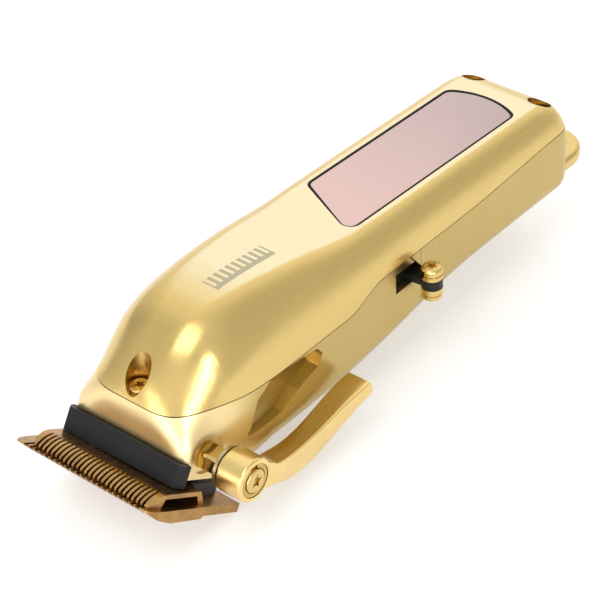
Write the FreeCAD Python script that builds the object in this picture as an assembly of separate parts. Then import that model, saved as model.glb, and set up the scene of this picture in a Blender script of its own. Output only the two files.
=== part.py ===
"""Cordless hair clipper, modelled as separate pieces in millimetres.

Row frame: the origin is the middle of the comb blade's tooth-tip line. +Y runs back along the body
to the hanging loop, +Z points out of the display side and +X out of the taper-lever side.
"""

import FreeCAD
import Part

import math
import os

from FreeCAD import Vector

OUT = "parts"
os.makedirs(OUT, exist_ok=True)

# ---------------------------------------------------------------- driving dimensions
BODY_END = 177.0            # rear face of the housing
SEAM_GAP = 0.22             # line between the top cover and the lower shells
BLADE_TILT = 31.0           # the blade plane falls towards the rear, degrees
OPENING = 5.4               # height of the nose opening above the comb blade
COMB_WIDTH = 46.0
COMB_DEPTH = 35.0
CUTTER_HALF = 20.0
CUTTER_STROKE = 1.3         # the cutter rests at the lever-side end of its stroke
PIVOT_Y, PIVOT_Z = 24.4, -0.9   # taper lever axis
TOP_SLOPE = 1.36            # the display plane falls towards the rear, degrees
TOP_MID = Vector(0, 130, 24.6)  # a point on the display plane

TILT = math.radians(BLADE_TILT)
REARWARD = Vector(0, math.cos(TILT), -math.sin(TILT))   # along the blade plane
UPWARD = Vector(0, math.sin(TILT), math.cos(TILT))      # out of the blade plane
SIDE = Vector(1, 0, 0)


# ---------------------------------------------------------------- helpers
def save(name, *solids):
    """Writes one named piece, made of one or more closed solids."""
    found = [s for shape in solids for s in shape.Solids]
    shape = found[0] if len(found) == 1 else Part.makeCompound(found)
    bad = [s for s in found if not s.isValid() or s.Volume <= 0]
    print(f"{name:20s} solids {len(found):2d}  volume {sum(s.Volume for s in found):9.1f}"
          + ("  INVALID" if bad or not found else ""))
    shape.exportStep(os.path.join(OUT, name + ".step"))
    return shape


def box(x0, x1, y0, y1, z0, z1):
    return Part.makeBox(x1 - x0, y1 - y0, z1 - z0, Vector(x0, y0, z0))


def on_blade(u, v, x=0.0):
    """A point from blade coordinates: u back along the blade, v up from its cutting plane."""
    return SIDE * x + REARWARD * u + UPWARD * v


def to_blade(shape):
    """Moves a shape modelled flat, with Y as u and Z as v, onto the blade plane."""
    moved = shape.copy()
    moved.rotate(Vector(0, 0, 0), SIDE, -BLADE_TILT)
    return moved


def to_top(shape):
    """Moves a shape modelled on the flat plane z = 0, at y from the display's middle, onto the display plane."""
    moved = shape.copy()
    moved.rotate(Vector(0, 0, 0), SIDE, -TOP_SLOPE)
    moved.translate(TOP_MID)
    return moved


def prism_x(outline, x0, x1):
    """Extrudes a closed (y, z) outline from x0 to x1."""
    points = [Vector(x0, y, z) for y, z in outline]
    face = Part.Face(Part.makePolygon(points + points[:1]))
    return face.extrude(SIDE * (x1 - x0))


def prism_z(outline, z0, z1):
    """Extrudes a closed (x, y) outline from z0 to z1."""
    points = [Vector(x, y, z0) for x, y in outline]
    face = Part.Face(Part.makePolygon(points + points[:1]))
    return face.extrude(Vector(0, 0, z1 - z0))


def rod(radius, start, end):
    return Part.makeCylinder(radius, (end - start).Length, start, end - start)


def soften(shape, radius, pick):
    """Fillets the edges that pick(edge) chooses."""
    edges = [e for e in shape.Edges if pick(e)]
    return shape.makeFillet(radius, edges) if edges else shape


def along(edge, axis):
    """True where a straight edge runs along one axis."""
    if not isinstance(edge.Curve, Part.Line):
        return False
    return abs(abs(edge.Curve.Direction.dot(axis)) - 1) < 1e-6


# ---------------------------------------------------------------- the housing's outer form
# Every section is a closed curve: a flat top, rounded shoulders, straight sides and a rounded bottom.
# At the nose the section planes fan about a line below the belly, from the nose opening to upright.
FAN_Y = 50.0
FAN_Z = (OPENING - FAN_Y * math.sin(TILT)) / math.cos(TILT)

# fan angle, top and bottom distance from the fan line, half width, half flat, shoulder drop, shoulder power,
# bottom flat, bottom rise
NOSE = [
    (59.0, 40.6, 18.9, 18.7, 14.0, 3.2, 3.6, 13.0, 5.0),
    (55.6, 41.1, 17.2, 18.8, 13.0, 3.8, 3.6, 13.0, 5.0),
    (52.0, 42.2, 15.8, 19.0, 11.2, 4.8, 3.55, 13.0, 5.5),
    (48.0, 44.0, 14.5, 19.2, 8.2, 7.6, 3.15, 12.5, 6.0),
    (43.6, 46.2, 13.4, 19.5, 4.8, 12.4, 2.55, 12.0, 6.5),
    (39.0, 47.9, 12.6, 19.8, 3.0, 16.2, 2.25, 11.5, 7.0),
    (33.3, 49.5, 11.6, 20.1, 2.2, 18.8, 2.12, 11.0, 7.5),
    (27.0, 51.3, 10.8, 20.4, 2.4, 20.6, 2.05, 10.5, 8.0),
    (19.5, 53.2, 10.2, 20.7, 3.2, 21.4, 2.0, 10.0, 8.5),
    (10.7, 54.0, 9.9, 20.9, 4.6, 22.0, 1.92, 10.0, 9.0),
]
# y, top, bottom, half width, half flat, shoulder drop, bottom flat, bottom rise
BODY = [
    (50.0, 30.0, -14.0, 21.0, 6.2, 21.2, 10.0, 9.0),
    (60.0, 29.4, -14.0, 21.0, 7.8, 19.4, 10.0, 9.0),
    (70.0, 28.3, -13.8, 20.9, 9.2, 17.0, 10.0, 9.0),
    (79.0, 26.9, -13.4, 20.7, 10.3, 14.6, 10.0, 9.0),
    (87.0, 25.8, -12.7, 20.4, 11.1, 12.9, 10.0, 8.6),
    (95.0, 25.43, -11.7, 20.2, 11.6, 11.9, 10.0, 8.2),
    (103.0, 25.24, -10.4, 20.0, 11.8, 11.5, 10.2, 7.8),
    (111.0, 25.05, -8.9, 19.9, 11.9, 11.2, 10.6, 7.4),
    (120.0, 24.84, -7.4, 19.8, 12.0, 11.0, 11.0, 7.0),
    (134.0, 24.5, -6.4, 19.7, 12.0, 10.6, 11.4, 6.6),
    (150.0, 24.12, -6.2, 19.6, 12.0, 10.1, 11.5, 6.5),
    (163.0, 23.82, -6.2, 19.5, 12.0, 9.6, 11.5, 6.5),
]
REAR_STATIONS = (10.0, 7.5, 5.6, 4.0, 2.6, 1.4, 0.6, 0.15, 0.0)    # distances from the rear face
REAR_TOP = (13.0, 6.2)      # rounding of the top into the rear face: its length and its depth
REAR_SIDE = (5.5, 4.6)      # the same for the sides and the underside
BODY_POWER = 1.9            # the shoulder is a little flatter than an ellipse

# Spans of one half section: underside flat, underside round, side, each half of the shoulder, top flat
FLAT_SPANS, ROUND_SPANS, SIDE_SPANS, SHOULDER_SPANS, TOP_SPANS = 5, 8, 6, 7, 7


def even(points, spans):
    """A row of points resampled into equal spans."""
    run = [0.0]
    for (xa, za), (xb, zb) in zip(points, points[1:]):
        run.append(run[-1] + math.hypot(xb - xa, zb - za))
    made, k = [points[0]], 0
    for i in range(1, spans):
        target = run[-1] * i / spans
        while run[k + 1] < target:
            k += 1
        t = (target - run[k]) / (run[k + 1] - run[k])
        made.append(tuple(a + (b - a) * t for a, b in zip(points[k], points[k + 1])))
    return made + [points[-1]]


def widening(start, end, spans, first):
    """Points from start to end whose spans grow from about the first one's length."""
    length = math.hypot(end[0] - start[0], end[1] - start[1])
    power = max(1.0, math.log(first / length) / math.log(1 / spans))
    return [tuple(a + (b - a) * (i / spans) ** power for a, b in zip(start, end)) for i in range(spans + 1)]


def half_section(top, bottom, half, flat, drop, power, low_flat, rise):
    """Points (x, height) up one side of a section, from the underside's middle to the top's middle."""
    def shoulder(degrees):
        a = math.radians(degrees)
        across, up = max(0.0, math.cos(a)) ** (2 / power), math.sin(a) ** (2 / power)
        return flat + (half - flat) * across, top - drop + drop * up

    lower = even([shoulder(45 * i / 40) for i in range(41)], SHOULDER_SPANS)
    upper = even([shoulder(45 + 45 * i / 40) for i in range(41)], SHOULDER_SPANS)
    points = [(low_flat * i / FLAT_SPANS, bottom) for i in range(FLAT_SPANS)]
    for i in range(ROUND_SPANS):
        a = math.pi / 2 * i / ROUND_SPANS
        points.append((low_flat + (half - low_flat) * math.sin(a), bottom + rise * (1 - math.cos(a))))
    side = widening(lower[0], (half, bottom + rise), SIDE_SPANS, math.dist(lower[0], lower[1]))
    crown = widening(upper[-1], (0.0, top), TOP_SPANS, math.dist(upper[-2], upper[-1]))
    return points + side[:0:-1] + lower[:-1] + upper[:-1] + crown


def ring(place, *shape):
    """A closed spline wire through one section, put in space by place(x, height)."""
    right = half_section(*shape)
    left = [(-x, z) for x, z in reversed(right[1:-1])]
    points = [place(x, z) for x, z in right + left]
    curve = Part.BSplineCurve()
    share = [i / len(points) for i in range(len(points) + 1)]
    curve.interpolate(Points=points, PeriodicFlag=True, Parameters=share)
    return Part.Wire(curve.toShape())


def body_ring(y, top, bottom, half, flat, drop, low_flat, rise):
    return ring(upright(y), top, bottom, half, flat, drop, BODY_POWER, low_flat, rise)


def in_fan(angle):
    a = math.radians(angle)
    return lambda x, r: Vector(x, FAN_Y - r * math.sin(a), FAN_Z + r * math.cos(a))


def upright(y):
    return lambda x, z: Vector(x, y, z)


def rounding(distance, length, depth):
    """Inset of a rounded edge at a distance from the face it runs into."""
    t = max(0.0, 1 - distance / length)
    return depth * (1 - math.sqrt(1 - t * t))


def housing_form():
    """The housing's outer form as one lofted solid."""
    wires = [ring(in_fan(angle), *shape) for angle, *shape in NOSE]
    wires += [body_ring(*row) for row in BODY]
    for distance in REAR_STATIONS:
        y = BODY_END - distance
        top = TOP_MID.z - (y - TOP_MID.y) * math.tan(math.radians(TOP_SLOPE)) - rounding(distance, *REAR_TOP)
        step = rounding(distance, *REAR_SIDE)
        wires.append(body_ring(y, top, step - 6.3, 19.4 - step, 12.0 - 0.4 * step, min(9.2, top - 12.5),
                               11.5 - 0.4 * step, 6.5 - 0.6 * step))
    return Part.makeLoft(wires, True, False)


def seam_height(y):
    """Height of the line between the cover and the lower shells: low at the nose, stepped up before the switch."""
    def step(a, b):
        t = min(1.0, max(0.0, (y - a) / (b - a)))
        return t * t * (3 - 2 * t)
    return 10.7 - 1.1 * step(24, 46) + 3.7 * step(77, 91) + 2.2 * step(125, 172)


def above_seam(drop=0.0):
    """The space above the seam, as a solid."""
    ys = [-10, 10, 22, 28, 34, 40, 46, 60, 74, 77, 80, 84, 88, 91, 95, 110, 125, 138, 150, 162, 172, 185, 210]
    curve = Part.BSplineCurve()
    curve.interpolate([Vector(-60, y, seam_height(y) - drop) for y in ys])
    first, last = Vector(-60, ys[0], seam_height(ys[0]) - drop), Vector(-60, ys[-1], seam_height(ys[-1]) - drop)
    roof = [last, Vector(-60, ys[-1], 70), Vector(-60, ys[0], 70), first]
    wire = Part.Wire([curve.toShape()] + [Part.LineSegment(a, b).toShape() for a, b in zip(roof, roof[1:])])
    return Part.Face(wire).extrude(SIDE * 120)


# The cavity inside the housing: y, top, bottom, half width, half flat, shoulder drop, bottom flat, bottom rise
CAVITY = [
    (24.5, 13.5, -4.0, 10.5, 4.0, 6.0, 6.0, 4.0),
    (27.5, 16.6, -7.0, 14.0, 4.0, 10.0, 8.0, 5.0),
    (31.0, 19.6, -9.5, 16.2, 3.5, 13.0, 9.0, 6.0),
    (36.0, 22.8, -11.6, 17.7, 3.0, 16.0, 9.5, 6.5),
    (43.0, 25.9, -12.0, 18.6, 4.0, 18.0, 9.5, 7.0),
    (52.0, 27.6, -12.0, 19.1, 5.0, 19.0, 9.5, 7.2),
    (62.0, 27.0, -12.0, 19.1, 7.0, 17.2, 9.5, 7.2),
    (72.0, 25.8, -11.8, 19.0, 8.6, 14.6, 9.5, 7.2),
    (82.0, 24.2, -11.3, 18.7, 9.8, 12.0, 9.5, 7.2),
    (92.0, 23.3, -10.2, 18.3, 11.0, 10.2, 9.5, 6.8),
    (101.0, 23.1, -8.9, 18.1, 11.2, 9.8, 9.5, 6.2),
    (109.0, 22.9, -7.3, 18.0, 11.4, 9.5, 10.0, 5.8),
    (118.0, 22.7, -5.7, 17.9, 11.4, 9.3, 10.5, 5.2),
    (134.0, 22.3, -4.5, 17.8, 11.4, 8.9, 11.0, 4.8),
    (152.0, 21.9, -4.4, 17.7, 11.4, 8.3, 11.0, 4.8),
    (166.0, 20.8, -4.4, 17.4, 11.3, 7.2, 11.0, 4.8),
    (175.0, 16.6, -3.6, 15.6, 10.5, 5.0, 10.5, 4.2),
]


def cavity_form():
    return Part.makeLoft([body_ring(*row) for row in CAVITY], True, False)


# ---------------------------------------------------------------- comb blade, cutter and carriage
SLOT_PITCH = 1.78
SLOT_WIDTH = 0.92
CORNER_TOOTH = 2.6
HEEL_SCREW_X, HEEL_SCREW_U = 9.5, 28.5


def comb_outline(half, depth, pitch, slot, corner, root, tip_cut, nose_round):
    """Plan outline (x, u) of a toothed edge: tapered teeth in front and a rounded end tooth on each side."""
    count = int((2 * (half - corner)) / pitch)
    first = -pitch * (count - 1) / 2
    end = [(half, depth)]
    for i in range(7):
        a = math.pi / 12 * i
        end.append((half - nose_round[0] * (1 - math.cos(a)), nose_round[1] * (1 - math.sin(a))))
    points = list(end)
    for i in range(count):
        x = -(first + pitch * i)
        points += [(x + slot / 2 + tip_cut, 0.0), (x + slot / 2 + tip_cut * 0.2, 1.1), (x + slot / 2, root - 0.4),
                   (x + slot / 4, root), (x - slot / 4, root), (x - slot / 2, root - 0.4),
                   (x - slot / 2 - tip_cut * 0.2, 1.1), (x - slot / 2 - tip_cut, 0.0)]
    return points + [(-x, u) for x, u in reversed(end)]


def comb_blade():
    """The fixed, lower blade: bevelled teeth in front, a stepped underside and a screwed heel."""
    plan = comb_outline(COMB_WIDTH / 2, COMB_DEPTH, SLOT_PITCH, SLOT_WIDTH, CORNER_TOOTH, 8.4, 0.2, (1.6, 6.0))
    slab = prism_z(plan, -6, 1)
    side = [(0.0, 0.0), (COMB_DEPTH, 0.0), (COMB_DEPTH, -2.4), (21.4, -2.4), (20.6, -3.1), (9.0, -3.3),
            (4.0, -2.3), (0.35, -0.55), (0.0, -0.3)]
    blade = slab.common(prism_x(side, -30, 30))
    for x in (-HEEL_SCREW_X, HEEL_SCREW_X):
        blade = blade.cut(rod(1.5, Vector(x, HEEL_SCREW_U, -5), Vector(x, HEEL_SCREW_U, 1)))
        blade = blade.cut(rod(2.75, Vector(x, HEEL_SCREW_U, -5), Vector(x, HEEL_SCREW_U, -1.2)))
    return to_blade(blade)


CUTTER_FRONT, CUTTER_REAR, CUTTER_TOP = 1.7, 22.2, 3.45
CUTTER_PITCH, CUTTER_SLOT = 1.42, 0.58
YOKE_U0, YOKE_U1 = 17.6, 19.6
YOKE_HALF = 2.5


def cutter_blade():
    """The moving, upper blade: a channel with a toothed front foot and a plain, sloped rear foot."""
    f, r, t = CUTTER_FRONT, CUTTER_REAR, CUTTER_TOP
    plan = comb_outline(CUTTER_HALF, r - f, CUTTER_PITCH, CUTTER_SLOT, 0.9, 4.9, 0.1, (1.2, 5.0))
    slab = prism_z(plan, -1, 6)
    slab.translate(Vector(0, f, 0))
    side = [(f, 0.06), (5.9, 0.06), (6.7, 2.3), (19.0, 2.3), (20.2, 0.06), (r, 0.06), (r - 0.4, 1.0),
            (r - 2.2, t), (7.4, t), (6.0, t - 0.12), (4.6, t - 0.55), (3.3, t - 1.25), (2.3, t - 2.1), (f, 0.7)]
    blade = slab.common(prism_x(side, -30, 30))
    hole = box(-YOKE_HALF - 0.1, YOKE_HALF + 0.1, YOKE_U0 - 0.1, YOKE_U1 + 0.1, 1.0, 5)
    return to_blade(blade.cut(hole))


CRANK_MID = math.radians(12.5)      # half the lever's swing
CRANK = 2.25                        # offset of the lever shaft's eccentric pin
PIN_U = PIVOT_Y * math.cos(TILT) - PIVOT_Z * math.sin(TILT) - CRANK * math.sin(CRANK_MID)
PIN_V = PIVOT_Y * math.sin(TILT) + PIVOT_Z * math.cos(TILT) - CRANK * math.cos(CRANK_MID)
PIN_R = 1.0


def blade_carrier():
    """The sliding plate that holds the comb blade, with the fork that the lever's eccentric pin drives."""
    plate = box(-17, 17, 22.6, 33.2, 0.04, 3.3)
    plate = soften(plate, 1.5, lambda e: along(e, Vector(0, 0, 1)))
    fork = prism_x([(22.6, 0.5), (27.0, 0.5), (27.0, 6.0), (PIN_U + 3.0, 8.6), (PIN_U + 3.0, PIN_V + 1.9),
                    (PIN_U - 2.7, PIN_V + 1.9), (PIN_U - 2.7, PIN_V - 3.0), (22.6, 5.0)], 12.0, 14.2)
    slot = box(11, 15, PIN_U - PIN_R - 0.06, PIN_U + PIN_R + 0.06, PIN_V - 1.6, PIN_V + 5)
    shape = plate.fuse(fork).cut(slot)
    shape = shape.cut(box(-8.4, 8.4, 24.4, 26.6, 2.6, 5))
    for x in (-HEEL_SCREW_X, HEEL_SCREW_X):
        shape = shape.cut(rod(1.3, Vector(x, HEEL_SCREW_U, -1), Vector(x, HEEL_SCREW_U, 5)))
    return to_blade(shape.removeSplitter())


def star_recess(radius, depth, points=5):
    """A star-shaped driver recess centred on the origin, sunk down from z = 0."""
    corners = []
    for i in range(points * 2):
        a = math.pi * i / points
        r = radius if i % 2 == 0 else radius * 0.5
        corners.append((r * math.sin(a), r * math.cos(a)))
    return prism_z(corners, -depth, 1)


def screw(head_r, head_h, shank_r, shank_len):
    """A pan-head screw, its head's top at z = 0 and its shank down -Z."""
    head = Part.makeCylinder(head_r, head_h, Vector(0, 0, -head_h))
    head = soften(head, min(0.5, head_h * 0.45), lambda e: e.CenterOfMass.z > -0.01 and len(e.Vertexes) == 1)
    shank = Part.makeCylinder(shank_r, shank_len, Vector(0, 0, -head_h - shank_len))
    return head.fuse(shank).cut(star_recess(head_r * 0.62, head_h * 0.55)).removeSplitter()


def placed(shape, point, axis=Vector(0, 0, 1)):
    """Turns a shape's +Z to an axis and moves its origin to a point."""
    moved = shape.copy()
    moved.Placement = FreeCAD.Placement(point, FreeCAD.Rotation(Vector(0, 0, 1), axis)).multiply(moved.Placement)
    return moved


def blade_screws():
    made = []
    for x in (-HEEL_SCREW_X, HEEL_SCREW_X):
        made.append(to_blade(placed(screw(2.6, 1.05, 1.25, 3.6), Vector(x, HEEL_SCREW_U, -2.3), Vector(0, 0, -1))))
    return made


def wire(points, radius):
    """A round wire bent through a row of points."""
    shape = None
    for a, b in zip(points, points[1:]):
        piece = rod(radius, a, b)
        shape = piece if shape is None else shape.fuse(piece)
        if b is not points[-1]:
            shape = shape.fuse(Part.makeSphere(radius, b))
    return shape.removeSplitter()


def tension_spring():
    """The sprung wire that presses the cutter on the comb blade, held on the carrier."""
    line = [(-7.6, 16.6, 4.4), (-7.6, 25.5, 4.4), (-7.6, 25.5, 3.4), (7.6, 25.5, 3.4), (7.6, 25.5, 4.4),
            (7.6, 16.6, 4.4)]
    return to_blade(wire([Vector(*p) for p in line], 0.6))


def drive_yoke():
    """Slotted arm between the motor's eccentric pin and the cutter."""
    inner = [(YOKE_U0, 1.6), (YOKE_U0, 6.4), (YOKE_U1, 5.2), (YOKE_U1, 1.6)]
    p = [on_blade(u, v) for u, v in inner]
    arm = prism_x([(p[0].y, p[0].z), (p[1].y, p[1].z), (31.4, 3.0), (33.4, 3.0), (33.4, 0.2),
                   (p[2].y, p[2].z), (p[3].y, p[3].z)], -YOKE_HALF, YOKE_HALF)
    plate = box(-6.2, 6.2, 31.4, 33.4, 0.2, 14.5)
    plate = soften(plate, 2.5, lambda e: along(e, Vector(0, 1, 0)) and e.CenterOfMass.z > 10)
    return arm.fuse(plate).cut(box(-YOKE_SLOT, YOKE_SLOT, 30, 35, 3.6, 12.4)).removeSplitter()


YOKE_SLOT = 3.9                     # half width: clears the eccentric pin wherever each stands
MOTOR_Z, MOTOR_R = 8.0, 12.0
MOTOR_Y0, MOTOR_Y1 = 48.0, 83.0


def y_rod(radius, y0, y1, x=0.0, z=MOTOR_Z):
    return rod(radius, Vector(x, y0, z), Vector(x, y1, z))


def motor_parts():
    body = y_rod(MOTOR_R, MOTOR_Y0, MOTOR_Y1)
    body = soften(body, 1.2, lambda e: isinstance(e.Curve, Part.Circle))
    body = body.fuse(y_rod(5.0, MOTOR_Y1 - 1, MOTOR_Y1 + 1.6)).cut(y_rod(1.06, 40, 62))
    for z in (MOTOR_Z + MOTOR_R - 0.6, MOTOR_Z - MOTOR_R - 0.6):
        body = body.cut(box(-9, 9, MOTOR_Y0 - 1, MOTOR_Y1 + 3, z, z + 1.2))
    screws = []
    for x in (-7.0, 7.0):
        body = body.cut(y_rod(0.95, MOTOR_Y0 - 1, MOTOR_Y0 + 3.0, x))
        screws.append(placed(screw(1.7, 1.3, 0.9, 6.0), Vector(x, 42.6, MOTOR_Z), Vector(0, -1, 0)))
    bearing = y_rod(3.2, 44.0, 47.9).cut(y_rod(1.06, 40, 50))
    damper = y_rod(13.2, 69.0, 76.0).cut(y_rod(MOTOR_R + 0.04, 60, 80))
    return body, bearing, screws, damper


def drive_eccentric():
    shape = y_rod(1.0, 42, 61).fuse(y_rod(4.0, 37.4, 42.4)).fuse(y_rod(1.0, 30.0, 38.0, CUTTER_STROKE))
    return shape.cut(box(-5, 5, 37.0, 42.6, MOTOR_Z - 6, MOTOR_Z - 2.6)).removeSplitter()


def inner_chassis():
    """The tray that carries the motor, battery and boards."""
    tray = prism_x([(40, -10.8), (95, -9.6), (110, -3.9), (165, -3.9), (165, -2.9), (109, -2.9), (94, -8.2),
                    (40, -9.4)], -11.5, 11.5)
    wall = box(-13, 13, 44.0, 46.0, -9.6, 21.0)
    wall = soften(wall, 4.0, lambda e: along(e, Vector(0, 1, 0)) and e.CenterOfMass.z > 10)
    cradle = box(-14, 14, 70.0, 75.0, -9.6, 6.0).cut(y_rod(13.25, 60, 80))
    stop = box(-10, 10, 88.0, 90.0, -9.4, 12.0)
    rear = box(-11, 11, 158.0, 160.0, -3.5, 12.0)
    shape = tray.fuse([wall, cradle, stop, rear])
    for x in (-11.2, 11.2):
        for y in (108.0, 163.0):
            shape = shape.fuse(rod(1.3, Vector(x, y, -3.4), Vector(x, y, 16.6)))
    shape = shape.cut(y_rod(3.25, 40, 47)).cut(y_rod(6.0, 86, 89))
    for x in (-7.0, 7.0):
        shape = shape.cut(y_rod(1.0, 42, 47, x))
    return shape.removeSplitter()


# ---------------------------------------------------------------- black nose bar
BAR = [(11.6, 3.75), (12.1, 9.9), (15.4, 9.9), (15.4, 3.75)]
BAR_HALF = 19.6
BAR_ARCH = 400.0            # radius of the bar's slightly arched top


def blade_guard(grow=0.0):
    """The black bar in front of the nose opening, with chamfered ends."""
    (front, low), (lean, high), (rear, _), _ = BAR
    outline = [(front - grow, low - grow), (lean - grow, high + grow), (rear + grow, high + grow),
               (rear + grow, low - grow)]
    half = BAR_HALF + grow
    bar = prism_x(outline, -half, half)
    plan = [(-half, 20), (half, 20), (half, 13.9), (half - 1.7, 11.4 - grow), (1.7 - half, 11.4 - grow),
            (-half, 13.9)]
    arch = rod(BAR_ARCH, Vector(0, 5, high + grow - BAR_ARCH), Vector(0, 25, high + grow - BAR_ARCH))
    return to_blade(bar.common(prism_z(plan, 0, 12)).common(arch))


# ---------------------------------------------------------------- lens and its gasket
def lens_form(grow, z0, z1):
    """The lens outline (slanted front edge, bowed rear edge) as a prism, flat in display coordinates."""
    half = 10.9 + grow
    y = TOP_MID.y
    front_left, front_right = 99.9 - grow - y, 89.0 - grow - y
    side_end, bow = 159.3 + grow - y, 162.8 + grow - y
    p = [Vector(half, front_right, z0), Vector(half, side_end, z0), Vector(-half, side_end, z0),
         Vector(-half, front_left, z0)]
    rear = Part.Arc(p[1], Vector(0, bow, z0), p[2]).toShape()
    sides = [Part.LineSegment(p[0], p[1]).toShape(), rear, Part.LineSegment(p[2], p[3]).toShape(),
             Part.LineSegment(p[3], p[0]).toShape()]
    prism = Part.Face(Part.Wire(sides)).extrude(Vector(0, 0, z1 - z0))
    return soften(prism, max(2.4 + grow, 1.0), lambda e: along(e, Vector(0, 0, 1)))


# ---------------------------------------------------------------- housing shells
FRONT_SCREW_Y = 22.3
REAR_SCREW_X, REAR_SCREW_Y = 11.2, 172.0
SPLIT_Y = 107.3
SWITCH_SLOT = [(96.5, 5.0), (96.5, 20.0), (102.8, 20.0), (102.8, 13.6), (107.3, 8.1), (109.0, 8.1), (109.0, 5.0)]
POCKET = [(66.0, 5.4), (63.8, 8.1), (58.0, 9.0), (46.9, 9.6), (41.5, 6.2), (39.4, 1.6), (38.6, -1.2), (36.0, -3.4),
          (40.5, -3.4), (44.5, -3.1), (49.5, -2.6), (56.0, 0.3), (64.0, 2.7)]
SOCKET_Z = 9.0


def upright_rod(radius, x, y, z0, z1):
    return rod(radius, Vector(x, y, z0), Vector(x, y, z1))


def screw_bosses(outer, low, radius):
    """Bosses around the three cover screws, as far as they lie inside the outer form."""
    bosses = [upright_rod(radius, 0, FRONT_SCREW_Y, low, 30).common(outer)]
    for x in (-REAR_SCREW_X, REAR_SCREW_X):
        bosses.append(upright_rod(radius, x, REAR_SCREW_Y, -7, 30).common(outer))
    return bosses


def in_lengths(shape, *stations):
    """The same shell with its long faces divided at stations along the body."""
    ends = (-60,) + stations + (240,)
    lengths = [shape.common(box(-60, 60, a, b, -60, 60)) for a, b in zip(ends, ends[1:])]
    return lengths[0].fuse(lengths[1:])


def upper_cover(outer, cavity):
    """Domed cover with the lens recess, its window and three deep screw holes."""
    above = above_seam()
    cover = outer.common(above).cut(cavity)
    pad = to_top(lens_form(2.0, -3.0, -0.6)).common(outer)
    cover = cover.fuse([pad] + [boss.common(above) for boss in screw_bosses(outer, 0, 4.5)])
    holes = [upright_rod(3.4, 0, FRONT_SCREW_Y, 11.6, 30), upright_rod(1.45, 0, FRONT_SCREW_Y, 5, 30)]
    for x in (-REAR_SCREW_X, REAR_SCREW_X):
        holes += [upright_rod(3.3, x, REAR_SCREW_Y, 17.6, 30), upright_rod(1.45, x, REAR_SCREW_Y, 5, 30)]
    cover = cover.cut(holes).cut(to_top(lens_form(0.74, -1.4, 5))).cut(to_top(lens_form(-1.4, -6, 0)))
    return in_lengths(cover, 34.0, 52.0, 80.0, 120.0, 166.0)


def lower_housing(outer, cavity):
    """Front lower housing: nose opening, lever pivot, thumb pocket and switch slot."""
    form = outer.cut(box(-60, 60, SPLIT_Y, 200, -60, 60)).cut(above_seam(SEAM_GAP))
    duct = to_blade(box(-16.6, 16.6, 17.0, 29.5, 4.0, 11.0).fuse(box(-8, 8, 17.4, 29.5, 4.0, 14.5)))
    pivot = Vector(0, PIVOT_Y, PIVOT_Z)
    inside = [upright_rod(3.9, 0, FRONT_SCREW_Y, 3.0, 30), box(14.2, 25, 33.5, 69.5, -7.0, 20),
              rod(6.2, pivot + SIDE * 16.4, pivot + SIDE * 25), box(15.6, 17.2, 93.0, SPLIT_Y, 9.4, 13.0),
              box(15.6, 19.5, 93.0, 96.5, 9.4, 13.0), box(15.6, 19.5, 103.6, SPLIT_Y, 9.4, 13.0)]
    housing = form.cut(cavity).cut(duct).fuse([piece.common(form) for piece in inside])
    scoop = rod(12.0, Vector(29.2, 20, 1.0), Vector(29.2, 80, 1.0))
    pocket = soften(prism_x(POCKET, 15, 26), 0.9, lambda e: along(e, SIDE))
    housing = housing.cut([
        upright_rod(1.45, 0, FRONT_SCREW_Y, 4, 30), pocket.common(scoop),
        rod(5.0, pivot + SIDE * 18.0, pivot + SIDE * 26), rod(3.66, pivot + SIDE * 15, pivot + SIDE * 20),
        rod(4.5, pivot + SIDE * 10, pivot + SIDE * 16.4), blade_guard(0.1),
        prism_x(SWITCH_SLOT, 18.9, 25), box(15, 19.2, 96.5, 109, 5.0, 9.5)])
    return in_lengths(housing, 34.0, 62.0, 86.0)


def rear_shell(outer, cavity):
    """Rear lower shell: charge inlet and the two pockets that hold the loop's feet."""
    form = outer.cut(box(-60, 60, -20, SPLIT_Y + 0.15, -60, 60)).cut(above_seam(SEAM_GAP))
    shell = form.cut(cavity).fuse([boss.common(form) for boss in screw_bosses(outer, 0, 3.8)[1:]])
    cuts = [rod(4.3, Vector(0, 170, SOCKET_Z), Vector(0, 180, SOCKET_Z))]
    for x in (-REAR_SCREW_X, REAR_SCREW_X):
        cuts.append(upright_rod(1.45, x, REAR_SCREW_Y, 6, 30))
    for x in (-14.55, 14.55):
        cuts.append(box(x - 2.45, x + 2.45, 168, 180, LOOP_LOW - 0.1, LOOP_HIGH + 0.1))
    return shell.cut(cuts)


LOOP_LOW, LOOP_HIGH = -2.4, 2.1


def hanging_loop():
    """A flattened half ring, its two feet held in the rear shell."""
    def plate(half, end, corner, z0, z1):
        slab = box(-half, half, 150, end, z0, z1)
        return soften(slab, corner, lambda e: along(e, Vector(0, 0, 1)) and e.CenterOfMass.y > end - 1)
    loop = plate(16.9, 192.0, 10.5, LOOP_LOW, LOOP_HIGH).cut(plate(12.2, 187.6, 7.0, LOOP_LOW - 1, LOOP_HIGH + 1))
    loop = loop.cut(box(-30, 30, 140, 170.5, -10, 10))
    return soften(loop, 1.7, lambda e: e.CenterOfMass.y > 171 and not along(e, Vector(0, 0, 1)))


# ---------------------------------------------------------------- taper lever
KNOB_R = 5.9
KNOB_IN, KNOB_OUT = 26.5, 34.3
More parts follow.
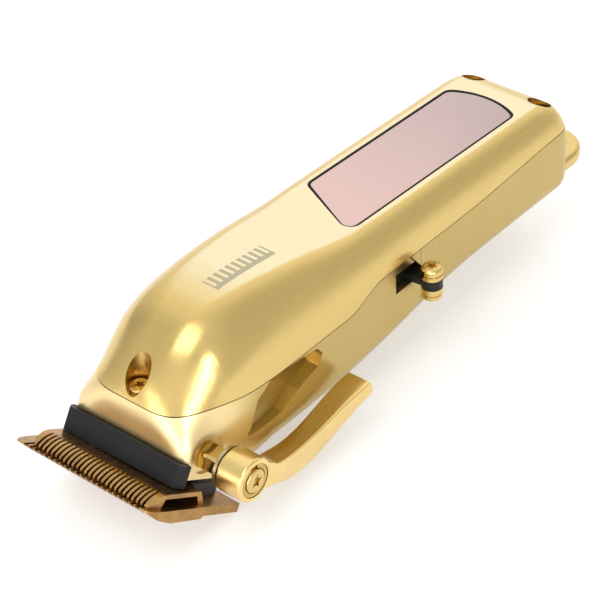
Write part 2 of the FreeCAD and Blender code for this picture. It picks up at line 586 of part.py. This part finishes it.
# y, low edge, outer top, inner top, inner x, outer x
ARM = [
    (26.0, -7.0, -1.0, -1.8, 26.9, 33.5),
    (31.0, -8.6, -2.0, -3.4, 26.6, 33.1),
    (34.5, -10.4, -3.2, -5.6, 24.4, 32.6),
    (38.5, -12.5, -4.8, -7.4, 23.1, 31.9),
    (44.5, -14.6, -6.2, -8.8, 22.7, 30.9),
    (51.0, -14.9, -6.8, -8.8, 22.6, 30.2),
    (58.0, -13.4, -6.2, -7.4, 22.5, 30.0),
    (65.0, -11.0, -5.0, -5.4, 22.5, 30.2),
    (71.0, -9.0, -4.0, -4.0, 22.8, 30.6),
    (75.0, -7.6, -3.4, -3.4, 23.4, 30.8),
]


def arm_section(y, low, outer_top, inner_top, x_in, x_out):
    """A rounded four-sided section of the lever's arm, standing across it."""
    r = 0.2
    corners = [(x_out - 0.6, low), (x_out, outer_top), (x_in, inner_top), (x_in + 1.2, low + 0.6)]
    points = []
    for i, (x, z) in enumerate(corners):
        for other, share in ((corners[i - 1], r), (corners[(i + 1) % 4], r)):
            points.append(Vector(x + (other[0] - x) * share, y, z + (other[1] - z) * share))
    middle = [(points[2 * i] + points[2 * i + 1]) * 0.5 for i in range(4)]
    ordered = []
    for i, (x, z) in enumerate(corners):
        ordered += [points[2 * i], middle[i] * 0.45 + Vector(x, y, z) * 0.55, points[2 * i + 1]]
    curve = Part.BSplineCurve()
    share = [i / len(ordered) for i in range(len(ordered) + 1)]
    curve.interpolate(Points=ordered, PeriodicFlag=True, Parameters=share)
    return Part.Wire(curve.toShape())


def taper_lever():
    """Thumb lever: a round knob on the pivot and a swept thumb paddle."""
    pivot = Vector(0, PIVOT_Y, PIVOT_Z)
    knob = rod(KNOB_R, pivot + SIDE * KNOB_IN, pivot + SIDE * KNOB_OUT)
    knob = soften(knob, 0.7, lambda e: isinstance(e.Curve, Part.Circle))
    arm = Part.makeLoft([arm_section(*row) for row in ARM], True, False)
    tip = prism_x([(20, -30), (71.5, -30), (73.9, -8.6), (73.0, -4.4), (69.6, 2.0), (20, 10)], 20, 40)
    ear = prism_x([(PIVOT_Y, 1.0), (31.4, -0.6), (34.4, -3.0), (34.8, -6.0), (PIVOT_Y, -6.0)], 27.6, 33.0)
    ear = soften(ear, 0.8, lambda e: e.CenterOfMass.y > 30)
    lever = knob.fuse([arm.common(tip), ear])
    lever = lever.cut(rod(3.05, pivot + SIDE * 20, pivot + SIDE * 28.5))
    lever = lever.cut(rod(1.6, pivot + SIDE * 20, pivot + SIDE * 40))
    return lever.cut(rod(4.6, pivot + SIDE * 33.4, pivot + SIDE * 40)).removeSplitter()


def lever_shaft():
    """Square-bodied pivot shaft with an eccentric pin inside the nose."""
    pivot = Vector(0, PIVOT_Y, PIVOT_Z)
    block = box(18.4, 25.3, PIVOT_Y - 2.7, PIVOT_Y + 2.7, PIVOT_Z - 2.7, PIVOT_Z + 2.7)
    block = soften(block, 0.9, lambda e: along(e, SIDE))
    pin = on_blade(PIN_U, PIN_V)
    shaft = block.fuse([rod(3.6, pivot + SIDE * 16.0, pivot + SIDE * 19), rod(3.9, pivot + SIDE * 14.6, pivot + SIDE * 16.1),
                        rod(3.0, pivot + SIDE * 25, pivot + SIDE * 28.3), rod(PIN_R, pin + SIDE * 11.6, pin + SIDE * 15)])
    return shaft.cut(rod(1.45, pivot + SIDE * 22, pivot + SIDE * 30)).removeSplitter()


def lever_trim():
    pivot = Vector(0, PIVOT_Y, PIVOT_Z)
    washer = rod(5.7, pivot + SIDE * 25.4, pivot + SIDE * 26.3).cut(rod(3.06, pivot + SIDE * 25, pivot + SIDE * 27))
    clip = rod(4.4, pivot + SIDE * 33.5, pivot + SIDE * 34.15).cut(rod(3.5, pivot + SIDE * 33, pivot + SIDE * 35))
    clip = clip.cut(box(33, 35, PIVOT_Y - 1.2, PIVOT_Y + 1.2, PIVOT_Z, PIVOT_Z + 6))
    bolt = placed(screw(3.2, 1.1, 1.4, 6.5), pivot + SIDE * 34.6, SIDE)
    return washer, clip, bolt


# ---------------------------------------------------------------- power switch
SWITCH_X, SWITCH_Y = 25.0, 105.4


def power_switch():
    """Slider with its cross arm, the two caps clamped on the arm's eye, and the switch it works."""
    eye = Vector(SWITCH_X, SWITCH_Y, 0)
    up = Vector(0, 0, 1)
    arm = prism_z([(17.7, 102.6), (22.0, 103.2), (SWITCH_X, 103.4), (SWITCH_X, 107.2), (17.7, 107.2)], 5.3, 7.5)
    slider = box(16.2, 17.9, 97.6, 108.4, 5.1, 7.8).fuse([
        arm, rod(2.85, eye + up * 4.95, eye + up * 7.7), box(13.7, 16.4, 97.9, 99.3, 5.2, 6.1)])
    slider = slider.cut(rod(1.15, eye, eye + up * 10)).removeSplitter()
    cap = rod(2.9, eye + up * 7.8, eye + up * 11.2)
    cap = soften(cap, 1.0, lambda e: e.CenterOfMass.z > 11 and len(e.Vertexes) == 1)
    cap = cap.cut(rod(3.2, eye + up * 8.9, eye + up * 9.3).cut(rod(2.6, eye + up * 8, eye + up * 10)))
    cap = cap.fuse(rod(1.1, eye + up * 3.9, eye + up * 8)).cut(placed(star_recess(1.6, 0.9), eye + up * 11.2))
    foot = rod(2.9, eye + up * 3.2, eye + up * 4.85).fuse([
        rod(2.2, eye + up * 2.7, eye + up * 3.3), rod(2.7, eye + up * 1.4, eye + up * 2.8)])
    foot = soften(foot, 0.5, lambda e: e.CenterOfMass.z < 1.5 and len(e.Vertexes) == 1)
    foot = foot.cut(rod(1.15, eye + up * 3.6, eye + up * 6))
    module = box(10.6, 15.2, 90.4, 104.2, 1.5, 9.5).cut(box(13.3, 16, 91.4, 103.2, 4.6, 6.4))
    return slider, cap.removeSplitter(), foot.removeSplitter(), module


# ---------------------------------------------------------------- power and boards
def battery_cell():
    cell = y_rod(9.1, 91.0, 156.0, 0, 6.6)
    cell = soften(cell, 0.8, lambda e: isinstance(e.Curve, Part.Circle))
    return cell.fuse(y_rod(3.0, 155.5, 157.4, 0, 6.6)).removeSplitter()


def main_board():
    board = box(-12.6, 12.6, 104.0, 165.0, 16.8, 18.2)
    chips = [box(-6, 2, 118, 126, 18.0, 19.2), box(3, 8, 132, 139, 18.0, 19.0), box(-9, -5, 146, 152, 18.0, 19.0)]
    return board.fuse(chips).removeSplitter()


def charge_socket():
    return y_rod(4.2, 163.0, 176.6, 0, SOCKET_Z).cut(y_rod(2.85, 168.0, 180, 0, SOCKET_Z))


def cover_screws():
    made = [placed(screw(2.7, 1.6, 1.4, 6.6), Vector(0, FRONT_SCREW_Y, 13.25))]
    for x in (-REAR_SCREW_X, REAR_SCREW_X):
        made.append(placed(screw(2.6, 1.6, 1.4, 9.6), Vector(x, REAR_SCREW_Y, 19.25)))
    return made


def build():
    outer, cavity = housing_form(), cavity_form()
    save("upper_cover", upper_cover(outer, cavity))
    save("lower_housing", lower_housing(outer, cavity))
    save("rear_shell", rear_shell(outer, cavity))
    save("hanging_loop", hanging_loop())
    save("inner_chassis", inner_chassis())
    save("blade_guard", blade_guard())
    save("display_lens", to_top(lens_form(0.0, -1.35, -0.14)))
    save("display_gasket", to_top(lens_form(0.68, -1.35, -0.04).cut(lens_form(0.03, -2, 1))))
    save("display_board", to_top(lens_form(-1.6, -4.7, -3.3)))
    save("cover_screws", *cover_screws())
    save("battery_cell", battery_cell())
    save("main_board", main_board())
    save("charge_socket", charge_socket())
    body, bearing, screws, damper = motor_parts()
    save("motor_body", body)
    save("motor_bearing", bearing)
    save("motor_screws", *screws)
    save("motor_damper", damper)
    save("drive_eccentric", drive_eccentric())
    save("drive_yoke", drive_yoke().translated(SIDE * CUTTER_STROKE))
    save("tension_spring", tension_spring())
    save("cutter_blade", cutter_blade().translated(SIDE * CUTTER_STROKE))
    save("comb_blade", comb_blade())
    save("blade_carrier", blade_carrier())
    save("blade_screws", *blade_screws())
    save("taper_lever", taper_lever())
    save("lever_shaft", lever_shaft())
    washer, clip, bolt = lever_trim()
    save("lever_washer", washer)
    save("lever_clip", clip)
    save("lever_screw", bolt)
    slider, cap, foot, module = power_switch()
    save("power_slider", slider)
    save("switch_cap_upper", cap)
    save("switch_cap_lower", foot)
    save("switch_module", module)


build()
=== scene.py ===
"""Gold hair clipper: materials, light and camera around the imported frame."""

import bpy
from mathutils import Matrix, Vector


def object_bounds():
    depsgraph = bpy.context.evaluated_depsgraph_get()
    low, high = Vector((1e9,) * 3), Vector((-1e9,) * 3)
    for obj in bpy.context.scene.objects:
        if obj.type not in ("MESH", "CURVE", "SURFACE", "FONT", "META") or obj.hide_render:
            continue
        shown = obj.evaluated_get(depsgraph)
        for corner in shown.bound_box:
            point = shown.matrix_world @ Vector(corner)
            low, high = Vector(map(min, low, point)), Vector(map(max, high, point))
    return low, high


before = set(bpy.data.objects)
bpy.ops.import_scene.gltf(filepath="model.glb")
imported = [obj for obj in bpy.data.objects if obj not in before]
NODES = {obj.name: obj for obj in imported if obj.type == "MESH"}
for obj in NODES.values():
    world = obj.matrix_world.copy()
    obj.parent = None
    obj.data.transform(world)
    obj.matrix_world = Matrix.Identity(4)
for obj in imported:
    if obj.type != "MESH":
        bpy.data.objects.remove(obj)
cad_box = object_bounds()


# ---------------------------------------------------------------- node helpers
class Graph:
    """A short way to write a material's nodes."""

    def __init__(self, name):
        self.material = bpy.data.materials.new(name)
        self.material.use_nodes = True
        self.tree = self.material.node_tree
        self.tree.nodes.clear()
        self.shader = self.add("ShaderNodeBsdfPrincipled")
        out = self.add("ShaderNodeOutputMaterial")
        self.link(self.shader.outputs[0], out.inputs["Surface"])

    def add(self, kind, **settings):
        node = self.tree.nodes.new(kind)
        for key, value in settings.items():
            setattr(node, key, value)
        return node

    def link(self, a, b):
        self.tree.links.new(a, b)

    def put(self, socket, value):
        """Sets a socket to a constant, or links it where value is a socket."""
        if isinstance(value, bpy.types.NodeSocket):
            self.link(value, socket)
        elif isinstance(value, tuple) and len(value) == 3 and socket.type == "RGBA":
            socket.default_value = (*value, 1.0)
        else:
            socket.default_value = value

    def math(self, operation, *values):
        node = self.add("ShaderNodeMath", operation=operation)
        for socket, value in zip(node.inputs, values):
            self.put(socket, value)
        return node.outputs[0]

    def range(self, value, low, high, out_low=0.0, out_high=1.0):
        """A smooth step from out_low to out_high while value goes from low to high."""
        node = self.add("ShaderNodeMapRange", interpolation_type="SMOOTHSTEP")
        for key, item in (("Value", value), ("From Min", low), ("From Max", high),
                          ("To Min", out_low), ("To Max", out_high)):
            self.put(node.inputs[key], item)
        return node.outputs[0]

    def mix(self, factor, a, b):
        node = self.add("ShaderNodeMix", data_type="RGBA")
        self.put(node.inputs["Factor"], factor)
        self.put(node.inputs[6], a)
        self.put(node.inputs[7], b)
        return node.outputs[2]

    def place(self):
        """The object's own coordinates, which are the row frame in metres."""
        coordinates = self.add("ShaderNodeTexCoord")
        return coordinates.outputs["Object"]

    def split(self, vector):
        node = self.add("ShaderNodeSeparateXYZ")
        self.link(vector, node.inputs[0])
        return node.outputs

    def noise(self, scale, stretch=(1, 1, 1), detail=3.0, roughness=0.5):
        """Noise whose scale is in cycles per metre, stretched along the axes."""
        mapping = self.add("ShaderNodeMapping")
        mapping.inputs["Scale"].default_value = tuple(scale * s for s in stretch)
        self.link(self.place(), mapping.inputs["Vector"])
        node = self.add("ShaderNodeTexNoise")
        node.inputs["Scale"].default_value = 1.0
        node.inputs["Detail"].default_value = detail
        node.inputs["Roughness"].default_value = roughness
        self.link(mapping.outputs[0], node.inputs["Vector"])
        return node.outputs["Fac"]

    def bump(self, height, strength, distance):
        node = self.add("ShaderNodeBump")
        node.inputs["Strength"].default_value = strength
        node.inputs["Distance"].default_value = distance
        self.link(height, node.inputs["Height"])
        return node.outputs[0]

    def set(self, **values):
        names = {"color": "Base Color", "rough": "Roughness", "metal": "Metallic", "normal": "Normal",
                 "coat": "Coat Weight", "coat_rough": "Coat Roughness", "specular": "Specular IOR Level",
                 "glow": "Emission Color", "glow_strength": "Emission Strength"}
        for key, value in values.items():
            self.put(self.shader.inputs[names[key]], value)
        return self.material


# Paler gold for the flat top: its paleness is a painted highlight over the real brushed finish.
TOP_GOLD_PAINTED_HIGHLIGHT = (0.78, 0.68, 0.44)
GOLD = (0.68, 0.50, 0.185)
# Darker gold for the housing walls: painted shade.
WALL_GOLD_PAINTED_SHADE = (0.53, 0.39, 0.14)
# Brighter gold for the polished nose: painted light over its real polish.
NOSE_GOLD_PAINTED_LIGHT = (0.84, 0.66, 0.34)
GOLD_DEEP = (0.58, 0.38, 0.12)
BRONZE = (0.45, 0.255, 0.085)

# The etched comb mark on the cover, in metres: its teeth's tips, their roots and its back across x,
# its two ends along y, and the height above which it shows
MARK_X = (0.0002, 0.0040, 0.0056)
MARK_Y = (0.0462, 0.0676)
MARK_PITCH = 0.00214
MARK_TOOTH = 0.27
MARK_COLOR = (0.47, 0.42, 0.29)
MARK_ROUGH = 0.5
MARK_DEPTH = 2.0
MARK_ABOVE = 0.02

# Where the finishes change, and where the flat top takes its paler gold, a painted highlight: how level the
# brushed top is, and the y at which it and the satin sides set in
LEVEL = (0.955, 0.99)
TOP_BRUSH_Y = (0.034, 0.058)
SIDE_BRUSH_Y = (0.035, 0.065)
NOSE_FADE = 0.014
NOSE_ROUGH = 0.34
TOP_STREAK = (0.84, 0.75, 0.51)


def comb_mark(g, x, y):
    """1 on the etched comb mark, which is a row of teeth on a straight back, and 0 elsewhere."""
    def inside(value, low, high):
        return g.math("MULTIPLY", g.math("GREATER_THAN", value, low), g.math("LESS_THAN", value, high))

    tip, root, back = MARK_X
    start, end = MARK_Y
    along = inside(y, start, end)
    phase = g.math("PINGPONG", g.math("SUBTRACT", y, start), MARK_PITCH / 2)
    tooth = g.math("LESS_THAN", phase, MARK_PITCH * MARK_TOOTH)
    teeth = g.math("MULTIPLY", tooth, inside(x, tip, root))
    spine = inside(x, root, back)
    return g.math("MULTIPLY", along, g.math("MAXIMUM", teeth, spine))


def cover_gold():
    """Satin gold with a cross-brushed flat top and an etched comb mark."""
    g = Graph("cover_gold")
    x, y, z = g.split(g.place())
    up = g.split(g.add("ShaderNodeNewGeometry").outputs["Normal"])[2]
    flat = g.math("MULTIPLY", g.range(up, *LEVEL), g.range(y, *TOP_BRUSH_Y))
    brush = g.noise(5200, (0.02, 1.0, 0.2), 4.0, 0.6)
    streak = g.noise(900, (0.03, 1.0, 0.2), 3.0, 0.6)
    smudge = g.noise(60)
    rough_flat = g.range(brush, 0.3, 0.7, 0.30, 0.44)
    long_brush = g.noise(4200, (1.0, 0.02, 1.0), 4.0, 0.6)
    rough_side = g.math("ADD", g.range(long_brush, 0.3, 0.7, 0.22, 0.34),
                        g.range(smudge, 0.35, 0.65, 0.0, 0.03))
    rough_nose = g.range(smudge, 0.35, 0.65, 0.20, 0.25)
    satin = g.range(y, *SIDE_BRUSH_Y)
    rough_smooth = g.math("ADD", g.math("MULTIPLY", satin, rough_side),
                          g.math("MULTIPLY", g.math("SUBTRACT", 1.0, satin), rough_nose))
    rough = g.math("ADD", g.math("MULTIPLY", flat, rough_flat),
                   g.math("MULTIPLY", g.math("SUBTRACT", 1.0, flat), rough_smooth))
    # Painted highlight: the flat top's colour is mixed toward the paler top gold.
    base = g.mix(flat, GOLD, TOP_GOLD_PAINTED_HIGHLIGHT)
    base = g.mix(g.math("MULTIPLY", flat, g.range(streak, 0.35, 0.7, 0.0, 0.35)), base, TOP_STREAK)
    mark = g.math("MULTIPLY", comb_mark(g, x, y), g.math("GREATER_THAN", z, MARK_ABOVE))
    base = g.mix(mark, base, MARK_COLOR)
    rough = g.math("MAXIMUM", rough, g.math("MULTIPLY", mark, MARK_ROUGH))
    side = g.math("MULTIPLY", g.math("SUBTRACT", 1.0, flat), satin)
    side_grain = g.math("MULTIPLY", g.math("MULTIPLY", long_brush, side), 0.6)
    grain = g.math("ADD", g.math("MULTIPLY", brush, flat), side_grain)
    height = g.math("SUBTRACT", grain, g.math("MULTIPLY", mark, MARK_DEPTH))
    return g.set(color=base, rough=rough, metal=1.0, normal=g.bump(height, 0.25, 0.00004))


def satin_gold(name, stretch, rough_low, rough_high, color=GOLD, polish_and_painted_light_before=None):
    """Lengthwise-brushed satin gold, smooth and painted brighter ahead of one y where asked; the brighter
    colour there is painted light.
    """
    g = Graph(name)
    brush = g.noise(4200, stretch, 4.0, 0.6)
    smudge = g.noise(45)
    rough = g.range(brush, 0.3, 0.7, rough_low, rough_high)
    if polish_and_painted_light_before is not None:
        y = g.split(g.place())[1]
        satin = g.range(y, polish_and_painted_light_before, polish_and_painted_light_before + NOSE_FADE)
        rough = g.math("ADD", g.math("MULTIPLY", satin, rough),
                       g.math("MULTIPLY", g.math("SUBTRACT", 1.0, satin), NOSE_ROUGH))
        height = g.math("MULTIPLY", brush, satin)
    else:
        height = brush
    base = g.mix(g.range(smudge, 0.3, 0.7, 0.0, 0.5), color, tuple(c * 0.94 for c in color))
    # Painted light: ahead of the given y the colour turns to the brighter nose gold.
    if polish_and_painted_light_before is not None:
        base = g.mix(satin, NOSE_GOLD_PAINTED_LIGHT, base)
    return g.set(color=base, rough=rough, metal=1.0, normal=g.bump(height, 0.2, 0.00003))


def polished_gold(name, color=GOLD, rough=0.14):
    g = Graph(name)
    smudge = g.noise(140, (1, 1, 1), 3.0, 0.6)
    fine = g.noise(2600, (0.2, 0.2, 1.0), 2.0, 0.5)
    return g.set(color=g.mix(g.range(smudge, 0.3, 0.7), color, tuple(c * 0.93 for c in color)),
                 rough=g.range(smudge, 0.3, 0.7, rough, rough + 0.07), metal=1.0,
                 normal=g.bump(fine, 0.05, 0.00002))


def blade_metal(name, color):
    g = Graph(name)
    grind = g.noise(3800, (1.0, 0.04, 0.04), 4.0, 0.6)
    patch = g.noise(220, (1, 1, 1), 3.0, 0.6)
    base = g.mix(g.range(patch, 0.35, 0.7), color, tuple(c * 0.72 for c in color))
    return g.set(color=base, rough=g.range(grind, 0.3, 0.7, 0.22, 0.38), metal=1.0,
                 normal=g.bump(grind, 0.2, 0.00003))


def steel(name, color=(0.56, 0.56, 0.57), rough=0.28):
    g = Graph(name)
    grain = g.noise(2400, (1.0, 1.0, 0.05), 3.0, 0.6)
    return g.set(color=color, rough=g.range(grain, 0.3, 0.7, rough, rough + 0.14), metal=1.0,
                 normal=g.bump(grain, 0.15, 0.00003))


def plastic(name, color, rough=0.42, grain_height=0.00003, coat=0.0, specular=0.5):
    g = Graph(name)
    grain = g.noise(5200, (1, 1, 1), 3.0, 0.6)
    patch = g.noise(90, (1, 1, 1), 2.0, 0.5)
    lighter = tuple(min(1.0, c * 1.25 + 0.001) for c in color)
    return g.set(color=g.mix(g.range(patch, 0.3, 0.7), color, lighter),
                 rough=g.range(grain, 0.3, 0.7, rough - 0.05, rough + 0.08), coat=coat, specular=specular,
                 normal=g.bump(grain, 0.25, grain_height))


def rose_mirror():
    """Tinted mirrored window, a little darker towards the rear edge."""
    g = Graph("rose_mirror")
    y = g.split(g.place())[1]
    haze = g.noise(30, (1, 0.4, 1), 2.0, 0.5)
    base = g.mix(g.range(y, 0.090, 0.160), (0.60, 0.385, 0.34), (0.37, 0.275, 0.265))
    base = g.mix(g.range(haze, 0.35, 0.7, 0.0, 0.3), base, (0.64, 0.48, 0.46))
    return g.set(color=base, rough=0.10, metal=0.92, coat=0.6, coat_rough=0.04)


def circuit_board(name):
    g = Graph(name)
    traces = g.noise(900, (1.0, 0.15, 1.0), 2.0, 0.5)
    base = g.mix(g.range(traces, 0.52, 0.55), (0.012, 0.09, 0.035), (0.03, 0.17, 0.07))
    return g.set(color=base, rough=0.35, coat=0.3, normal=g.bump(traces, 0.2, 0.00005))


MATERIALS = {
    "upper_cover": cover_gold(),
    # Painted light: the lower housing's nose takes the brighter nose gold.
    # Painted shade: the lower housing and rear shell walls take the darker wall gold.
    "lower_housing": satin_gold("satin_front", (1.0, 0.02, 1.0), 0.26, 0.38, WALL_GOLD_PAINTED_SHADE, polish_and_painted_light_before=0.030),
    "rear_shell": satin_gold("satin_rear", (1.0, 0.02, 1.0), 0.26, 0.38, WALL_GOLD_PAINTED_SHADE),
    "hanging_loop": polished_gold("loop_gold"),
    "blade_guard": plastic("guard_black", (0.004, 0.004, 0.005), 0.5, specular=0.3),
    "display_lens": rose_mirror(),
    "display_gasket": plastic("gasket_black", (0.004, 0.003, 0.003), 0.6, specular=0.2),
    "cover_screws": polished_gold("screw_gold", GOLD_DEEP, 0.18),
    # Painted light: the lever's gold is lighter than the body gold.
    "taper_lever": polished_gold("lever_gold_painted_light", (0.84, 0.62, 0.25), 0.22),
    "lever_shaft": polished_gold("shaft_gold", GOLD, 0.15),
    "lever_washer": steel("washer_steel", (0.50, 0.40, 0.24), 0.22),
    "lever_clip": polished_gold("clip_gold", GOLD_DEEP, 0.16),
    "lever_screw": polished_gold("lever_screw_gold", GOLD, 0.14),
    "switch_cap_upper": polished_gold("cap_gold", GOLD, 0.12),
    "switch_cap_lower": polished_gold("foot_gold", GOLD, 0.12),
    "power_slider": plastic("slider_black", (0.004, 0.004, 0.004), 0.42, specular=0.3),
    "cutter_blade": blade_metal("cutter_bronze", (0.46, 0.27, 0.10)),
    "comb_blade": blade_metal("comb_bronze", BRONZE),
    "blade_carrier": plastic("carrier_black", (0.02, 0.02, 0.02), 0.5),
    "blade_screws": steel("blade_screw_steel"),
    "tension_spring": steel("spring_steel"),
    "drive_yoke": plastic("yoke_white", (0.70, 0.68, 0.62), 0.4),
    "drive_eccentric": steel("eccentric_steel"),
    "motor_body": steel("motor_steel", (0.60, 0.60, 0.61), 0.22),
    "motor_bearing": polished_gold("bearing_bronze", (0.52, 0.31, 0.13), 0.3),
    "motor_screws": steel("motor_screw_steel"),
    "motor_damper": plastic("damper_rubber", (0.014, 0.014, 0.014), 0.6),
    "inner_chassis": plastic("chassis_black", (0.03, 0.03, 0.032), 0.5),
    "battery_cell": plastic("cell_sleeve", (0.03, 0.09, 0.26), 0.22, coat=0.4),
    "main_board": circuit_board("board_main"),
    "display_board": circuit_board("board_display"),
    "switch_module": plastic("module_black", (0.02, 0.02, 0.022), 0.3),
    "charge_socket": plastic("socket_black", (0.015, 0.015, 0.015), 0.35),
}

for node_name, node_material in MATERIALS.items():
    piece = NODES[node_name]
    piece.data.materials.clear()
    piece.data.materials.append(node_material)


# ---------------------------------------------------------------- floor, light and camera
def lit_card(name, location, target, size, power):
    """A soft rectangular light that faces a point."""
    data = bpy.data.lights.new(name, "AREA")
    data.shape = "RECTANGLE"
    data.size, data.size_y = size
    data.energy = power
    lamp = bpy.data.objects.new(name, data)
    lamp.location = location
    lamp.rotation_euler = (Vector(target) - Vector(location)).to_track_quat("-Z", "Y").to_euler()
    bpy.context.scene.collection.objects.link(lamp)
    return lamp


def studio_floor(height, half):
    mesh = bpy.data.meshes.new("studio_floor")
    corners = [(-half, -half, height), (half, -half, height), (half, half, height), (-half, half, height)]
    mesh.from_pydata(corners, [], [(0, 1, 2, 3)])
    floor = bpy.data.objects.new("studio_floor", mesh)
    bpy.context.scene.collection.objects.link(floor)
    g = Graph("floor_white")
    tone = g.noise(3, (1, 1, 1), 2.0, 0.5)
    mesh.materials.append(g.set(color=g.mix(g.range(tone, 0.3, 0.7), (0.60, 0.60, 0.60), (0.62, 0.62, 0.62)),
                                rough=0.75, specular=0.2, glow=(1.0, 1.0, 1.0), glow_strength=0.42))


def studio_world():
    """White surroundings with a bright area high at the back left and a dimmer one at the front left."""
    world = bpy.data.worlds.new("studio")
    bpy.context.scene.world = world
    world.use_nodes = True
    tree = world.node_tree
    tree.nodes.clear()
    out = tree.nodes.new("ShaderNodeOutputWorld")
    background = tree.nodes.new("ShaderNodeBackground")
    tree.links.new(background.outputs[0], out.inputs[0])
    direction = tree.nodes.new("ShaderNodeTexCoord").outputs["Generated"]

    def lobe(axis, low, high, amount):
        dot = tree.nodes.new("ShaderNodeVectorMath")
        dot.operation = "DOT_PRODUCT"
        dot.inputs[1].default_value = Vector(axis).normalized()
        tree.links.new(direction, dot.inputs[0])
        spread = tree.nodes.new("ShaderNodeMapRange")
        spread.interpolation_type = "SMOOTHSTEP"
        for key, value in (("From Min", low), ("From Max", high), ("To Min", 0.0), ("To Max", amount)):
            spread.inputs[key].default_value = value
        tree.links.new(dot.outputs["Value"], spread.inputs["Value"])
        return spread.outputs[0]

    total = None
    for part in WORLD_LOBES:
        value = lobe(*part)
        if total is not None:
            add = tree.nodes.new("ShaderNodeMath")
            add.operation = "ADD"
            tree.links.new(total, add.inputs[0])
            tree.links.new(value, add.inputs[1])
            value = add.outputs[0]
        total = value
    floor = tree.nodes.new("ShaderNodeMath")
    floor.operation = "ADD"
    floor.inputs[1].default_value = WORLD_BASE
    tree.links.new(total, floor.inputs[0])
    tree.links.new(floor.outputs[0], background.inputs["Strength"])
    background.inputs["Color"].default_value = (1.0, 0.99, 0.975, 1.0)


# The sky's even strength, then its lobes: direction, cosine where each starts and is full, and what it adds
WORLD_BASE = 0.82
WORLD_LOBES = [
    ((-0.54, 0.60, 0.60), 0.50, 1.0, 0.50),
    ((-0.92, 0.05, 0.38), 0.75, 1.0, -0.25),
    ((0.55, 0.55, 0.50), 0.80, 1.0, -0.10),
    ((0.10, -0.20, 0.95), 0.70, 1.0, 0.10),
]

# Each card's name, place, aim, width and height in metres, and power in watts
BODY_CENTRE = (0.0, 0.085, 0.005)
CARDS = [
    ("key", (-0.55, 0.75, 0.85), BODY_CENTRE, (0.9, 0.7), 2.5),
    ("strip_top", (0.06, -0.30, 0.66), (0.01, 0.03, 0.01), (0.40, 0.40), 1.1),
    ("strip_nose", (0.10, -0.42, 0.08), (0.0, 0.02, 0.0), (0.80, 0.30), 1.6),
    ("strip_side", (0.70, -0.30, 0.30), (0.02, 0.05, 0.0), (0.22, 0.45), 1.6),
]

FLOOR_GAP = 0.0003
FLOOR_HALF = 6.0
studio_floor(cad_box[0][2] - FLOOR_GAP, FLOOR_HALF)
studio_world()
cards = {card[0]: lit_card(*card) for card in CARDS}
cards["key"].visible_glossy = False

CAMERA_PLACE = (0.3197, -0.2733, 0.3598)
CAMERA_RIGHT = (0.7636, 0.6442, -0.0432)
CAMERA_BACK = (0.5362, -0.5955, 0.5983)
CAMERA_LENS = 137.8


def place_camera():
    """The camera in front of the nose on the lever side, squared up from its right and back directions."""
    data = bpy.data.cameras.new("camera")
    data.sensor_width = 36.0
    data.lens = CAMERA_LENS
    data.clip_start = 0.01
    camera = bpy.data.objects.new("camera", data)
    right = Vector(CAMERA_RIGHT).normalized()
    back = Vector(CAMERA_BACK)
    back = (back - right * back.dot(right)).normalized()
    turn = Matrix((right, back.cross(right), back)).transposed().to_4x4()
    camera.matrix_world = Matrix.Translation(CAMERA_PLACE) @ turn
    bpy.context.scene.collection.objects.link(camera)
    bpy.context.scene.camera = camera


place_camera()
bpy.context.scene.view_settings.view_transform = "Standard"
